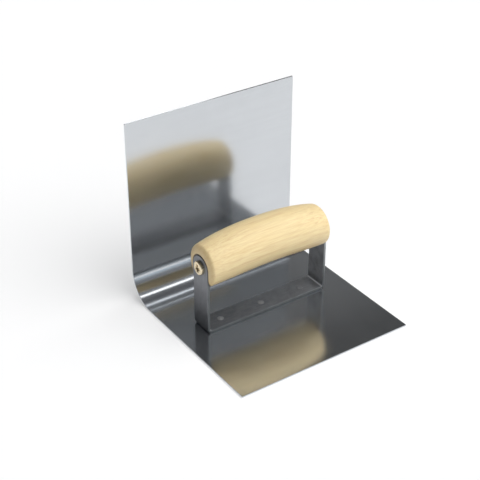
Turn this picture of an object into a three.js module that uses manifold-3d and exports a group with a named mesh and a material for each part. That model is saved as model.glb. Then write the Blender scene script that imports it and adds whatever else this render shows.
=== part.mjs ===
// Inside corner trowel: a stainless blade bent to an L with a one-inch cove, a U-shaped steel
// bracket riveted to its flat leaf, and an arched wooden grip. The bracket's arms are let into
// the grip's ends, and a wood screw through each arm holds it.
//
// Millimetres, +Z up. +X runs along the bend, +Y points towards the upright leaf.
// The origin is on the floor, at the middle of the footprint.

import * as THREE from "three";
import { mergeVertices } from "three/addons/utils/BufferGeometryUtils.js";
import Module from "manifold-3d";

const wasm = await Module();
wasm.setup();

// ---------------------------------------------------------------- driving dimensions

// Blade: six inches along each side, with a one-inch radius on the working side of the bend.
const INCH = 25.4;
const BLADE_SIDE = 6 * INCH;
const BLADE_GAUGE = 1.2;
const COVE_RADIUS = INCH;

// Bracket: one strap bent to a U, with round-topped arms.
const BRACKET_SPAN = 111.2;
const STRAP_WIDTH = 0.75 * INCH;
const STRAP_GAUGE = 2.1;
const STRAP_BEND = 1.5;
const BRACKET_Y = 8.8;
const SCREW_HEIGHT = 56.4;

// Grip: round sections strung along an arch, fattest in the middle, with rounded-over ends
// and a slot in each end for the bracket's arm.
const GRIP_LENGTH = 110.4;
const GRIP_MID_HEIGHT = 61.5;
const GRIP_SAG = 4.6;
const GRIP_RADIUS = 18.5;
const GRIP_TAPER = 2.4;
const TAPER_FROM_MIDDLE = 0.23;
const END_ROUND_LENGTH = 3;
const END_ROUND_DEPTH = 5;
const SLOT_CLEARANCE = 0.4;

// Screws: pan-head wood screws with a cross recess.
const HEAD_RADIUS = 5.6;
const HEAD_HEIGHT = 2.5;
const HEAD_ROUND = 0.8;
const HEAD_DOME = 0.25;
const HEAD_CHAMFER = 0.2;
const RECESS_DEPTH = 2.3;
const RECESS_REACH = 3.3;
const RECESS_FLOOR_REACH = 1.2;
const WING_WIDTH = 1.5;
const WING_FLOOR_WIDTH = 0.9;
const SCREW_LENGTH = 32;
const SHANK_RADIUS = 2.6;
const THREAD_RADIUS = 2.75;
const THREAD_CORE_RADIUS = 1.95;
const THREAD_PITCH = 2.3;
const THREAD_START = 9;
const POINT_LENGTH = 6;
const POINT_RADIUS = 0.15;
const LEFT_SCREW_TURN = 0.2;
const RIGHT_SCREW_TURN = 0.9;

// Rivets: low domed heads on the strap, tails countersunk flush with the working face.
const RIVET_PITCH = 1.5 * INCH;
const RIVET_RADIUS = 1.6;
const RIVET_HEAD_RADIUS = 2.6;
const RIVET_HEAD_HEIGHT = 0.75;
const COUNTERSINK_DEPTH = 0.8;

// Clearances, and how far a cutting shape runs past what it cuts.
const RIVET_CLEARANCE = 0.1;
const SCREW_CLEARANCE = 0.3;
const SEAT_GAP = 0.02;
const OVERRUN = 1;

// Number of sides and steps that round shapes are cut into.
const COVE_STEPS = 24;
const BEND_STEPS = 6;
const ARM_TOP_STEPS = 24;
const HOLE_SIDES = 24;
const GRIP_SIDES = 48;
const GRIP_STATIONS = 20;
const ROUND_STEPS = 5;
const HEAD_SIDES = 40;
const THREAD_SIDES = 16;
const ROWS_PER_PITCH = 6;

const QUARTER = Math.PI / 2;
const TURN = 2 * Math.PI;

// Where pieces meet.
const HALF_SIDE = BLADE_SIDE / 2;
const HALF_STRAP = STRAP_WIDTH / 2;
const STRAP_TOP = BLADE_GAUGE + STRAP_GAUGE;
const ARM_OUTSIDE = BRACKET_SPAN / 2;
const ARM_INSIDE = ARM_OUTSIDE - STRAP_GAUGE;

// ---------------------------------------------------------------- solids

// A closed geometry as a manifold-3d solid.
function solidOf(geometry) {
  const bare = geometry.index ? geometry.toNonIndexed() : geometry.clone();
  bare.deleteAttribute("normal");
  bare.deleteAttribute("uv");
  const merged = mergeVertices(bare, 1e-4);
  return new wasm.Manifold(
    new wasm.Mesh({
      numProp: 3,
      vertProperties: merged.attributes.position.array,
      triVerts: new Uint32Array(merged.index.array),
    }),
  );
}

// A manifold-3d solid as a flat-shaded geometry.
function geometryOf(solid) {
  const { vertProperties, triVerts } = solid.getMesh();
  const indexed = new THREE.BufferGeometry()
    .setAttribute("position", new THREE.BufferAttribute(vertProperties, 3))
    .setIndex(new THREE.BufferAttribute(triVerts, 1));
  const geometry = indexed.toNonIndexed();
  geometry.computeVertexNormals();
  return geometry;
}

// A (y, z) outline pulled along X, centred on X = x.
function extrudeAlongX(shape, length, x, curveSegments) {
  const axes = new THREE.Matrix4().makeBasis(
    new THREE.Vector3(0, 1, 0),
    new THREE.Vector3(0, 0, 1),
    new THREE.Vector3(1, 0, 0),
  );
  return new THREE.ExtrudeGeometry(shape, { depth: length, bevelEnabled: false, curveSegments })
    .applyMatrix4(axes)
    .translate(x - length / 2, 0, 0);
}

// An (x, z) outline pulled along Y, centred on Y = y.
function extrudeAlongY(shape, length, y, curveSegments) {
  return new THREE.ExtrudeGeometry(shape, { depth: length, bevelEnabled: false, curveSegments })
    .rotateX(QUARTER)
    .translate(0, y + length / 2, 0);
}

// A profile of [radius, height] pairs turned about +Z, listed from the bottom to the top.
function turned(profile, sides) {
  const points = profile.map(([radius, height]) => new THREE.Vector2(radius, height));
  return new THREE.LatheGeometry(points, sides).rotateX(QUARTER);
}

// A skin over rings of equal length, closed at both ends by a fan about each end's middle.
// Seen from beyond the last ring, every ring runs anticlockwise.
function skinOver(rings) {
  const sides = rings[0].length;
  const middle = (ring) =>
    ring.reduce((sum, point) => sum.add(point), new THREE.Vector3()).divideScalar(sides);
  const topStart = (rings.length - 1) * sides;
  const bottomMiddle = rings.length * sides;
  const topMiddle = bottomMiddle + 1;
  const points = [...rings.flat(), middle(rings[0]), middle(rings[rings.length - 1])];
  const faces = [];
  for (let k = 0; k < sides; k++) {
    const next = (k + 1) % sides;
    for (let start = 0; start < topStart; start += sides) {
      const [a, b] = [start + k, start + next];
      faces.push(a, b, b + sides, a, b + sides, a + sides);
    }
    faces.push(bottomMiddle, next, k, topMiddle, topStart + k, topStart + next);
  }
  return new THREE.BufferGeometry().setFromPoints(points).setIndex(faces);
}

// ---------------------------------------------------------------- blade

// The L seen from the side: outside of the bend first, then back along the inside.
function bladeOutline() {
  const bendY = HALF_SIDE - COVE_RADIUS;
  const shape = new THREE.Shape();
  shape.moveTo(-HALF_SIDE, 0);
  shape.lineTo(bendY, 0);
  shape.absarc(bendY, COVE_RADIUS, COVE_RADIUS, -QUARTER, 0, false);
  shape.lineTo(HALF_SIDE, BLADE_SIDE);
  shape.lineTo(HALF_SIDE - BLADE_GAUGE, BLADE_SIDE);
  shape.absarc(bendY, COVE_RADIUS, COVE_RADIUS - BLADE_GAUGE, 0, -QUARTER, true);
  shape.lineTo(-HALF_SIDE, BLADE_GAUGE);
  shape.closePath();
  return shape;
}

function rivetPlaces() {
  return [-RIVET_PITCH, 0, RIVET_PITCH];
}

// The hole for one rivet, opened out into a countersink on the working face.
function rivetHole(x) {
  const radius = RIVET_RADIUS + RIVET_CLEARANCE;
  const mouth = RIVET_HEAD_RADIUS + RIVET_CLEARANCE;
  const flare = ((mouth - radius) / COUNTERSINK_DEPTH) * OVERRUN;
  const profile = [
    [0, -OVERRUN],
    [mouth + flare, -OVERRUN],
    [radius, COUNTERSINK_DEPTH],
    [radius, STRAP_TOP + OVERRUN],
    [0, STRAP_TOP + OVERRUN],
  ];
  return solidOf(turned(profile, HOLE_SIDES).translate(x, BRACKET_Y, 0));
}

function cutRivetHoles(solid) {
  return rivetPlaces().reduce((rest, x) => rest.subtract(rivetHole(x)), solid);
}

function makeBlade() {
  const sheet = solidOf(extrudeAlongX(bladeOutline(), BLADE_SIDE, 0, COVE_STEPS));
  return geometryOf(cutRivetHoles(sheet));
}

// ---------------------------------------------------------------- handle bracket

// The U seen from the front: down the outside, along the foot, up, and back along the inside.
function bracketOutline() {
  const outerBend = STRAP_BEND + STRAP_GAUGE;
  const bendX = ARM_OUTSIDE - outerBend;
  const bendZ = BLADE_GAUGE + outerBend;
  const top = SCREW_HEIGHT + STRAP_WIDTH;
  const shape = new THREE.Shape();
  shape.moveTo(-ARM_OUTSIDE, top);
  shape.lineTo(-ARM_OUTSIDE, bendZ);
  shape.absarc(-bendX, bendZ, outerBend, -2 * QUARTER, -QUARTER, false);
  shape.absarc(bendX, bendZ, outerBend, -QUARTER, 0, false);
  shape.lineTo(ARM_OUTSIDE, top);
  shape.lineTo(ARM_INSIDE, top);
  shape.absarc(bendX, bendZ, STRAP_BEND, 0, -QUARTER, true);
  shape.absarc(-bendX, bendZ, STRAP_BEND, -QUARTER, -2 * QUARTER, true);
  shape.lineTo(-ARM_INSIDE, top);
  shape.closePath();
  return shape;
}

// An arm seen from the side: straight up to the screw, then a half round.
function armOutline(y, halfWidth) {
  const shape = new THREE.Shape();
  shape.moveTo(y - halfWidth, 0);
  shape.lineTo(y + halfWidth, 0);
  shape.absarc(y, SCREW_HEIGHT, halfWidth, 0, 2 * QUARTER, false);
  shape.closePath();
  return shape;
}

function screwHoles() {
  const radius = SHANK_RADIUS + SCREW_CLEARANCE;
  const length = BRACKET_SPAN + 2 * OVERRUN;
  return new THREE.CylinderGeometry(radius, radius, length, HOLE_SIDES)
    .rotateZ(QUARTER)
    .translate(0, BRACKET_Y, SCREW_HEIGHT);
}

function makeBracket() {
  const strap = solidOf(extrudeAlongY(bracketOutline(), STRAP_WIDTH, BRACKET_Y, BEND_STEPS));
  const span = BRACKET_SPAN + 2 * OVERRUN;
  const trim = solidOf(extrudeAlongX(armOutline(BRACKET_Y, HALF_STRAP), span, 0, ARM_TOP_STEPS));
  const drilled = strap.intersect(trim).subtract(solidOf(screwHoles()));
  return geometryOf(cutRivetHoles(drilled));
}

// ---------------------------------------------------------------- handle grip

// Height of the grip's centre line at a distance x from its middle.
function gripCentre(x) {
  return GRIP_MID_HEIGHT - GRIP_SAG * ((2 * x) / GRIP_LENGTH) ** 2;
}

// The grip's radius there: a slow taper, then the rounding-over of each end.
function gripRadius(x) {
  const share = (2 * x) / GRIP_LENGTH;
  const taper = TAPER_FROM_MIDDLE * share ** 2 + (1 - TAPER_FROM_MIDDLE) * share ** 4;
  const pastRound = Math.abs(x) - (GRIP_LENGTH / 2 - END_ROUND_LENGTH);
  const roundShare = Math.min(1, Math.max(0, pastRound / END_ROUND_LENGTH));
  const lost = END_ROUND_DEPTH * (1 - Math.sqrt(1 - roundShare ** 2));
  return GRIP_RADIUS - GRIP_TAPER * taper - lost;
}

// Places along the grip: even steps, then closer ones round each end.
function gripStations() {
  const straight = GRIP_LENGTH / 2 - END_ROUND_LENGTH;
  const stations = [];
  for (let k = 0; k <= GRIP_STATIONS; k++) {
    stations.push(straight * ((2 * k) / GRIP_STATIONS - 1));
  }
  for (let k = 1; k <= ROUND_STEPS; k++) {
    const x = straight + END_ROUND_LENGTH * Math.sin((QUARTER * k) / ROUND_STEPS);
    stations.push(x);
    stations.unshift(-x);
  }
  return stations;
}

function gripRing(x) {
  const [radius, centre] = [gripRadius(x), gripCentre(x)];
  return Array.from({ length: GRIP_SIDES }, (_, k) => {
    const turn = (TURN * k) / GRIP_SIDES;
    return new THREE.Vector3(x, radius * Math.cos(turn), centre + radius * Math.sin(turn));
  });
}

// The slot that an arm is let into, open at the grip's end and underneath.
function armSlot(side) {
  const depth = GRIP_LENGTH / 2 - ARM_INSIDE + OVERRUN;
  const outline = armOutline(0, HALF_STRAP + SLOT_CLEARANCE);
  return solidOf(extrudeAlongX(outline, depth, side * (ARM_INSIDE + depth / 2), ARM_TOP_STEPS));
}

// The drilled hole for a screw, starting at the slot's floor and ending in the drill's cone.
function pilotHole(side) {
  const radius = THREAD_RADIUS + SCREW_CLEARANCE;
  const depth = SCREW_LENGTH - STRAP_GAUGE + OVERRUN;
  const profile = [
    [0, -depth - radius / 2],
    [radius, -depth],
    [radius, OVERRUN],
    [0, OVERRUN],
  ];
  const hole = turned(profile, HOLE_SIDES).rotateY(side * QUARTER);
  return solidOf(hole.translate(side * ARM_INSIDE, 0, SCREW_HEIGHT));
}

// The grip is made about Y = 0.
function makeGrip() {
  const wood = solidOf(skinOver(gripStations().map(gripRing)));
  const cuts = [armSlot(-1), armSlot(1), pilotHole(-1), pilotHole(1)];
  return geometryOf(cuts.reduce((rest, cut) => rest.subtract(cut), wood));
}

// ---------------------------------------------------------------- screws

// Radius of the screw at a depth below its head and an angle round it: a plain shank, then a
// helical ridge on a core, both dying away to the point.
function screwRadius(depth, turn) {
  if (depth < THREAD_START) return SHANK_RADIUS;
  const toPoint = Math.min(1, (SCREW_LENGTH - depth) / POINT_LENGTH);
  const runIn = Math.min(1, (depth - THREAD_START) / THREAD_PITCH);
  const ridge = Math.max(0, Math.cos((TURN * depth) / THREAD_PITCH - turn)) * runIn;
  const full = THREAD_CORE_RADIUS + (THREAD_RADIUS - THREAD_CORE_RADIUS) * ridge;
  return Math.max(POINT_RADIUS, full * toPoint);
}

function screwRing(depth) {
  return Array.from({ length: THREAD_SIDES }, (_, k) => {
    const turn = (TURN * k) / THREAD_SIDES;
    const radius = screwRadius(depth, turn);
    return new THREE.Vector3(radius * Math.cos(turn), radius * Math.sin(turn), -depth);
  });
}

// The shank starts inside the head, so that the two join.
function screwShank() {
  const threaded = SCREW_LENGTH - THREAD_START;
  const rows = Math.round((threaded / THREAD_PITCH) * ROWS_PER_PITCH);
  const rowStep = threaded / rows;
  const depths = [-HEAD_CHAMFER, THREAD_START - rowStep];
  for (let k = 0; k <= rows; k++) depths.push(THREAD_START + rowStep * k);
  return solidOf(skinOver(depths.reverse().map(screwRing)));
}

// A pan head: flat underneath, upright at the rim, rounded over and slightly domed on top.
function screwHead() {
  const crown = HEAD_RADIUS - HEAD_ROUND;
  const shoulder = HEAD_HEIGHT - HEAD_DOME - HEAD_ROUND;
  const profile = [
    [0, 0],
    [HEAD_RADIUS - HEAD_CHAMFER, 0],
    [HEAD_RADIUS, HEAD_CHAMFER],
  ];
  for (let k = 0; k <= ROUND_STEPS; k++) {
    const turn = (QUARTER * k) / ROUND_STEPS;
    profile.push([crown + HEAD_ROUND * Math.cos(turn), shoulder + HEAD_ROUND * Math.sin(turn)]);
  }
  for (let k = ROUND_STEPS - 1; k >= 0; k--) {
    const share = k / ROUND_STEPS;
    profile.push([crown * share, HEAD_HEIGHT - HEAD_DOME * share ** 2]);
  }
  return solidOf(turned(profile, HEAD_SIDES));
}

// A plus-shaped ring at one height: four wings of one reach and width.
function crossRing(reach, width, height) {
  const half = width / 2;
  const wing = [
    new THREE.Vector3(reach, -half, height),
    new THREE.Vector3(reach, half, height),
    new THREE.Vector3(half, half, height),
  ];
  const up = new THREE.Vector3(0, 0, 1);
  const quarters = [0, 1, 2, 3];
  return quarters.flatMap((k) => wing.map((point) => point.clone().applyAxisAngle(up, k * QUARTER)));
}

// The cross recess: its wings shorten and narrow towards the floor.
function crossRecess() {
  const floor = crossRing(RECESS_FLOOR_REACH, WING_FLOOR_WIDTH, HEAD_HEIGHT - RECESS_DEPTH);
  const mouth = crossRing(RECESS_REACH, WING_WIDTH, HEAD_HEIGHT + HEAD_CHAMFER);
  return solidOf(skinOver([floor, mouth]));
}

// The screw points down, with the underside of its head at its own origin.
function makeScrew() {
  return geometryOf(screwHead().add(screwShank()).subtract(crossRecess()));
}

// ---------------------------------------------------------------- rivets

// The rivet stands with its tail on its own origin and its domed head up.
function makeRivet() {
  const seat = STRAP_TOP + SEAT_GAP;
  const profile = [
    [0, 0],
    [RIVET_HEAD_RADIUS, 0],
    [RIVET_RADIUS, COUNTERSINK_DEPTH],
    [RIVET_RADIUS, seat],
  ];
  for (let k = 0; k < ROUND_STEPS; k++) {
    const turn = (QUARTER * k) / ROUND_STEPS;
    profile.push([RIVET_HEAD_RADIUS * Math.cos(turn), seat + RIVET_HEAD_HEIGHT * Math.sin(turn)]);
  }
  profile.push([0, seat + RIVET_HEAD_HEIGHT]);
  return turned(profile, HOLE_SIDES);
}

// ---------------------------------------------------------------- materials

function stainlessSheet() {
  return new THREE.MeshStandardMaterial({ color: 0xb9bcc0, roughness: 0.22, metalness: 1 });
}

function strapSteel() {
  return new THREE.MeshStandardMaterial({ color: 0x6d7074, roughness: 0.42, metalness: 1 });
}

function paleWood() {
  return new THREE.MeshStandardMaterial({ color: 0xe8cf9c, roughness: 0.5, metalness: 0 });
}

function yellowZinc() {
  return new THREE.MeshStandardMaterial({ color: 0xc2a878, roughness: 0.3, metalness: 1 });
}

function rivetSteel() {
  return new THREE.MeshStandardMaterial({ color: 0x85888a, roughness: 0.35, metalness: 1 });
}

// ---------------------------------------------------------------- assembly

const trowel = new THREE.Group();

function addPart(name, geometry, material) {
  const mesh = new THREE.Mesh(geometry, material);
  mesh.name = name;
  trowel.add(mesh);
  return mesh;
}

// A screw in one arm: its head faces outwards, and turn is how far round it was driven.
function addScrew(name, side, turn) {
  const mesh = addPart(name, makeScrew(), yellowZinc());
  mesh.position.set(side * (ARM_OUTSIDE + SEAT_GAP), BRACKET_Y, SCREW_HEIGHT);
  mesh.rotation.set(0, side * QUARTER, turn, "YXZ");
}

addPart("blade", makeBlade(), stainlessSheet());
addPart("handle_bracket", makeBracket(), strapSteel());
addPart("handle_grip", makeGrip(), paleWood()).position.setY(BRACKET_Y);
addScrew("handle_screw_left", -1, LEFT_SCREW_TURN);
addScrew("handle_screw_right", 1, RIGHT_SCREW_TURN);
rivetPlaces().forEach((x, k) => {
  addPart(`rivet_${k + 1}`, makeRivet(), rivetSteel()).position.set(x, BRACKET_Y, 0);
});

export default trowel;
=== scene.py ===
"""Inside corner trowel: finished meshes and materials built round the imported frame.

Metres, +Z up, +X along the bend and the grip, +Y towards the upright leaf.
"""

import functools
import math

import bmesh
import bpy
from mathutils import Matrix, Vector


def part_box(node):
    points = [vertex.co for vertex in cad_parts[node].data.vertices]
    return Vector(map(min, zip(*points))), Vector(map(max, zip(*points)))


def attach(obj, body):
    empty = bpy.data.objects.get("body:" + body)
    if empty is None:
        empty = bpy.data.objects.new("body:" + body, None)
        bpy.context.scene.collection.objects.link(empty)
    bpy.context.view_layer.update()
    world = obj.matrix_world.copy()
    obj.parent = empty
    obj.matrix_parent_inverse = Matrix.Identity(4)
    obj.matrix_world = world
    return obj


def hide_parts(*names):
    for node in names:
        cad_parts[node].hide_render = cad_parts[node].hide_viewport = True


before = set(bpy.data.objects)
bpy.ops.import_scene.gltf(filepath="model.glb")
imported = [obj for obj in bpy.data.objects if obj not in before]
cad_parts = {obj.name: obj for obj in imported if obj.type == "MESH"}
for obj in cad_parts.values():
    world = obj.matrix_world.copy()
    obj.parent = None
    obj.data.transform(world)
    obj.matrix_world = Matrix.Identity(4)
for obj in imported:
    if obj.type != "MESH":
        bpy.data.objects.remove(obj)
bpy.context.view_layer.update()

MM = 0.001
QUARTER = math.pi / 2
TURN = 2 * math.pi

# ---------------------------------------------------------------- sizes

BLADE_LOW, BLADE_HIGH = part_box("blade")
STRAP_LOW, STRAP_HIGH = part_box("handle_bracket")
GRIP_LOW, GRIP_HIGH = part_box("handle_grip")

COVES_IN_A_SIDE = 6
SIDE = BLADE_HIGH.x - BLADE_LOW.x
HALF_SIDE = SIDE / 2
GAUGE = STRAP_LOW.z - BLADE_LOW.z
COVE_RADIUS = SIDE / COVES_IN_A_SIDE
BEND_Y = HALF_SIDE - COVE_RADIUS
BLADE_EDGE = 0.16 * MM
BLADE_CORNER = 0.5 * MM

STRAP_WIDTH = STRAP_HIGH.y - STRAP_LOW.y
HALF_STRAP = STRAP_WIDTH / 2
STRAP_Y = (STRAP_LOW.y + STRAP_HIGH.y) / 2
STRAP_GAUGE = 2.1 * MM
STRAP_BEND = 1.5 * MM
STRAP_EDGE = 0.38 * MM
ARM_OUTSIDE = STRAP_HIGH.x
ARM_INSIDE = ARM_OUTSIDE - STRAP_GAUGE
SCREW_HEIGHT = STRAP_HIGH.z - HALF_STRAP
STRAP_TOP = STRAP_LOW.z + STRAP_GAUGE

HALF_GRIP = GRIP_HIGH.x
GRIP_RADIUS = (GRIP_HIGH.y - GRIP_LOW.y) / 2
GRIP_MID_HEIGHT = GRIP_HIGH.z - GRIP_RADIUS
GRIP_SAG = 4.6 * MM
GRIP_TAPER = 2.4 * MM
TAPER_FROM_MIDDLE = 0.23
END_ROUND_LENGTH = 3 * MM
END_ROUND_DEPTH = 5 * MM
SLOT_CLEARANCE = 0.4 * MM
# Reach of the painted shade on the wood round each arm's slot.
SLOT_SHADE_FULL = 0.4 * MM
SLOT_SHADE_FADE = 0.9 * MM

HEAD_HEIGHT = 2.5 * MM
HEAD_ROUND = 0.8 * MM
HEAD_DOME = 0.25 * MM
HEAD_CHAMFER = 0.2 * MM
RECESS_DEPTH = 1.3 * MM
RECESS_REACH = 3.3 * MM
RECESS_FLOOR_REACH = 2.3 * MM
WING_WIDTH = 2.8 * MM
WING_FLOOR_WIDTH = 2.1 * MM
SCREW_LENGTH = 32 * MM
SHANK_RADIUS = 2.6 * MM
THREAD_RADIUS = 2.75 * MM
THREAD_CORE_RADIUS = 1.95 * MM
THREAD_PITCH = 2.3 * MM
THREAD_START = 9 * MM
POINT_LENGTH = 6 * MM
POINT_RADIUS = 0.15 * MM
SCREW_CLEARANCE = 0.3 * MM
LEFT_SCREW_TURN = 0.1
RIGHT_SCREW_TURN = 0.9

RIVET_RADIUS = 1.6 * MM
RIVET_HEAD_RADIUS = 2.6 * MM
RIVET_HEAD_HEIGHT = 0.75 * MM
COUNTERSINK_DEPTH = 0.8 * MM
RIVET_CLEARANCE = 0.1 * MM
SEAT_GAP = 0.02 * MM
OVERRUN = 1 * MM

COVE_STEPS = 96
BLADE_CORNER_STEPS = 6
BLADE_FLAT_STEPS = 24
STRAP_BEND_STEPS = 24
STRAP_FLAT_STEPS = 12
ROUND_TOP_STEPS = 72
EDGE_STEPS = 4
GRIP_SIDES = 144
GRIP_STATIONS = 120
GRIP_ROUND_STEPS = 18
HEAD_SIDES = 96
HEAD_STEPS = 12
THREAD_SIDES = 32
ROWS_PER_PITCH = 12
RIVET_SIDES = 64
RIVET_STEPS = 14
HOLE_SIDES = 64

SMOOTH_ANGLE = math.radians(34)
FLAT_FACE_WEIGHT = 60

RIVETS = ("rivet_1", "rivet_2", "rivet_3")

# ---------------------------------------------------------------- mesh helpers


def mesh_object(name, vertices, faces):
    """A closed mesh object with its faces turned outwards."""
    mesh = bpy.data.meshes.new(name)
    mesh.from_pydata([tuple(v) for v in vertices], [], faces)
    bm = bmesh.new()
    bm.from_mesh(mesh)
    bmesh.ops.recalc_face_normals(bm, faces=bm.faces)
    bm.to_mesh(mesh)
    bm.free()
    obj = bpy.data.objects.new(name, mesh)
    bpy.context.scene.collection.objects.link(obj)
    return obj


def skin_over(rings):
    """Vertices and faces of a skin over rings of equal length, with a cap at each end."""
    count = len(rings[0])
    vertices = [point for ring in rings for point in ring]
    faces = []
    for row in range(len(rings) - 1):
        for k in range(count):
            a = row * count + k
            b = row * count + (k + 1) % count
            faces.append((a, b, b + count, a + count))
    last = (len(rings) - 1) * count
    faces.append(tuple(reversed(range(count))))
    faces.append(tuple(range(last, last + count)))
    return vertices, faces


def turned(name, profile, sides):
    """Turns (radius, height) pairs about Z. The profile starts and ends on the axis."""
    rings = [
        [
            Vector((r * math.cos(TURN * k / sides), r * math.sin(TURN * k / sides), h))
            for k in range(sides)
        ]
        for r, h in profile[1:-1]
    ]
    vertices = [point for ring in rings for point in ring]
    bottom, top = len(vertices), len(vertices) + 1
    vertices += [Vector((0, 0, profile[0][1])), Vector((0, 0, profile[-1][1]))]
    faces = []
    last = (len(rings) - 1) * sides
    for k in range(sides):
        follow = (k + 1) % sides
        faces.append((bottom, follow, k))
        faces.append((top, last + k, last + follow))
        for start in range(0, last, sides):
            a, b = start + k, start + follow
            faces.append((a, b, b + sides, a + sides))
    return mesh_object(name, vertices, faces)


def cut(obj, cutters):
    """Subtracts each cutter from obj and removes the cutters."""
    for cutter in cutters:
        modifier = obj.modifiers.new("cut", "BOOLEAN")
        modifier.operation = "DIFFERENCE"
        modifier.solver = "EXACT"
        modifier.object = cutter
        apply_modifiers(obj)
        bpy.data.objects.remove(cutter)


def apply_modifiers(obj):
    """Bakes obj's modifiers into its mesh."""
    bpy.context.view_layer.update()
    graph = bpy.context.evaluated_depsgraph_get()
    baked = bpy.data.meshes.new_from_object(obj.evaluated_get(graph))
    baked.name = obj.name
    obj.modifiers.clear()
    obj.data = baked


def smooth(obj):
    """Smooth shading, with sharp edges kept and flat faces kept flat."""
    obj.data.polygons.foreach_set("use_smooth", [True] * len(obj.data.polygons))
    obj.data.set_sharp_from_angle(angle=SMOOTH_ANGLE)
    weighted = obj.modifiers.new("flat faces", "WEIGHTED_NORMAL")
    weighted.mode = "FACE_AREA"
    weighted.weight = FLAT_FACE_WEIGHT
    weighted.keep_sharp = True


def place(obj, node, material):
    """Finishes a piece: its material, the node it stands for and the slot it takes."""
    obj.data.materials.clear()
    obj.data.materials.append(material)
    for polygon in obj.data.polygons:
        polygon.material_index = 0
    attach(obj, "root")
    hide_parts(node)


# ---------------------------------------------------------------- bent strips


def path_point(path, start, heading, distance):
    """The place and heading on a chain of lines and arcs, at a distance along it.

    Each piece of the path is (length, turn): the turn is the angle it bends through.
    """
    point, angle = Vector(start), heading
    for length, bend in path:
        part = min(distance, length)
        if bend:
            radius = length / bend
            swept = bend * part / length
            point = point + Vector(
                (
                    radius * (math.sin(angle + swept) - math.sin(angle)),
                    radius * (math.cos(angle) - math.cos(angle + swept)),
                )
            )
            angle += swept
        else:
            point = point + part * Vector((math.cos(angle), math.sin(angle)))
        distance -= part
        if distance <= 0:
            break
    return point, angle


def inset(outline, amount):
    """The half outline moved inwards. It is mirrored about w = 0, as its normals are."""
    moved = []
    count = len(outline)
    for k, (s, w) in enumerate(outline):
        before = outline[k - 1] if k else (s, -w)
        after = outline[k + 1] if k < count - 1 else (s, -w)
        first = Vector((s - before[0], w - before[1])).normalized()
        second = Vector((after[0] - s, after[1] - w)).normalized()
        normal = (Vector((first.y, -first.x)) + Vector((second.y, -second.x))).normalized()
        spread = normal.dot(Vector((second.y, -second.x)))
        moved.append((s + normal.x * amount / spread, w + normal.y * amount / spread))
    return moved


def bent_strip(name, outline, gauge, edge, place_on):
    """A flat strip with rounded edges, bent by place_on(distance, width, height).

    The outline is one half of it, from the first end to the last, as (distance, width).
    """
    levels = []
    for k in range(EDGE_STEPS + 1):
        turn = QUARTER * k / EDGE_STEPS
        drop = edge * (1 - math.cos(turn))
        levels.append((edge * (1 - math.sin(turn)), gauge / 2 - drop))
    levels += [(amount, -height) for amount, height in reversed(levels)]
    count = len(outline)
    vertices, faces = [], []
    for amount, height in levels:
        half = inset(outline, amount)
        ring = half + [(s, -w) for s, w in reversed(half)]
        vertices += [place_on(s, w, height) for s, w in ring]
    around = 2 * count
    for row in range(len(levels) - 1):
        for k in range(around):
            a, b = row * around + k, row * around + (k + 1) % around
            faces.append((a, b, b + around, a + around))
    bottom = (len(levels) - 1) * around
    for k in range(count - 1):
        opposite = around - 1 - k
        faces.append((k, opposite, opposite - 1, k + 1))
        faces.append(
            (bottom + k, bottom + k + 1, bottom + opposite - 1, bottom + opposite)
        )
    return mesh_object(name, vertices, faces)


# ---------------------------------------------------------------- blade


def blade_outline():
    """Half of the flat sheet: a square-ended rectangle with small rounded corners."""
    flat, bend = BEND_Y + HALF_SIDE, QUARTER * (COVE_RADIUS - GAUGE / 2)
    length = 2 * flat + bend
    corner = BLADE_CORNER
    ends = []
    for k in range(BLADE_CORNER_STEPS + 1):
        turn = QUARTER * k / BLADE_CORNER_STEPS
        ends.append(
            (corner * (1 - math.cos(turn)), HALF_SIDE - corner * (1 - math.sin(turn)))
        )
    leaf = [flat * k / BLADE_FLAT_STEPS for k in range(1, BLADE_FLAT_STEPS)]
    cove = [flat + bend * k / COVE_STEPS for k in range(COVE_STEPS + 1)]
    middle = [(s, HALF_SIDE) for s in leaf + cove + [flat + bend + s for s in leaf]]
    return ends + middle + [(length - s, w) for s, w in reversed(ends)]


def on_blade(distance, width, height):
    """Bends the sheet: along the flat leaf, round the cove and up the upright leaf."""
    flat, bend = BEND_Y + HALF_SIDE, QUARTER * (COVE_RADIUS - GAUGE / 2)
    path = [(flat, 0), (bend, QUARTER), (flat, 0)]
    point, angle = path_point(path, (-HALF_SIDE, GAUGE / 2), 0, distance)
    return Vector(
        (
            width,
            point.x - height * math.sin(angle),
            point.y + height * math.cos(angle),
        )
    )


def rivet_axis(node):
    """Where a rivet stands."""
    low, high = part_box(node)
    return Vector(((low.x + high.x) / 2, (low.y + high.y) / 2, 0))


def rivet_hole(node):
    """The cutter for one rivet: a hole with a countersink on the working face."""
    radius = RIVET_RADIUS + RIVET_CLEARANCE
    mouth = RIVET_HEAD_RADIUS + RIVET_CLEARANCE
    flare = (mouth - radius) / COUNTERSINK_DEPTH * OVERRUN
    profile = [
        (0, -OVERRUN),
        (mouth + flare, -OVERRUN),
        (radius, COUNTERSINK_DEPTH),
        (radius, STRAP_TOP + OVERRUN),
        (0, STRAP_TOP + OVERRUN),
    ]
    cutter = turned("rivet_hole", profile, HOLE_SIDES)
    cutter.data.transform(Matrix.Translation(rivet_axis(node)))
    return cutter


def make_blade():
    blade = bent_strip("blade_sheet", blade_outline(), GAUGE, BLADE_EDGE, on_blade)
    cut(blade, [rivet_hole(node) for node in RIVETS])
    smooth(blade)
    place(blade, "blade", stainless())


# ---------------------------------------------------------------- bracket


def strap_lengths():
    """Straight arm, bend and foot, along the middle of the strap's thickness."""
    outer = STRAP_BEND + STRAP_GAUGE
    arm = STRAP_HIGH.z - STRAP_LOW.z - outer
    bend = QUARTER * (STRAP_BEND + STRAP_GAUGE / 2)
    foot = 2 * (ARM_OUTSIDE - outer)
    return arm, bend, foot


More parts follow.
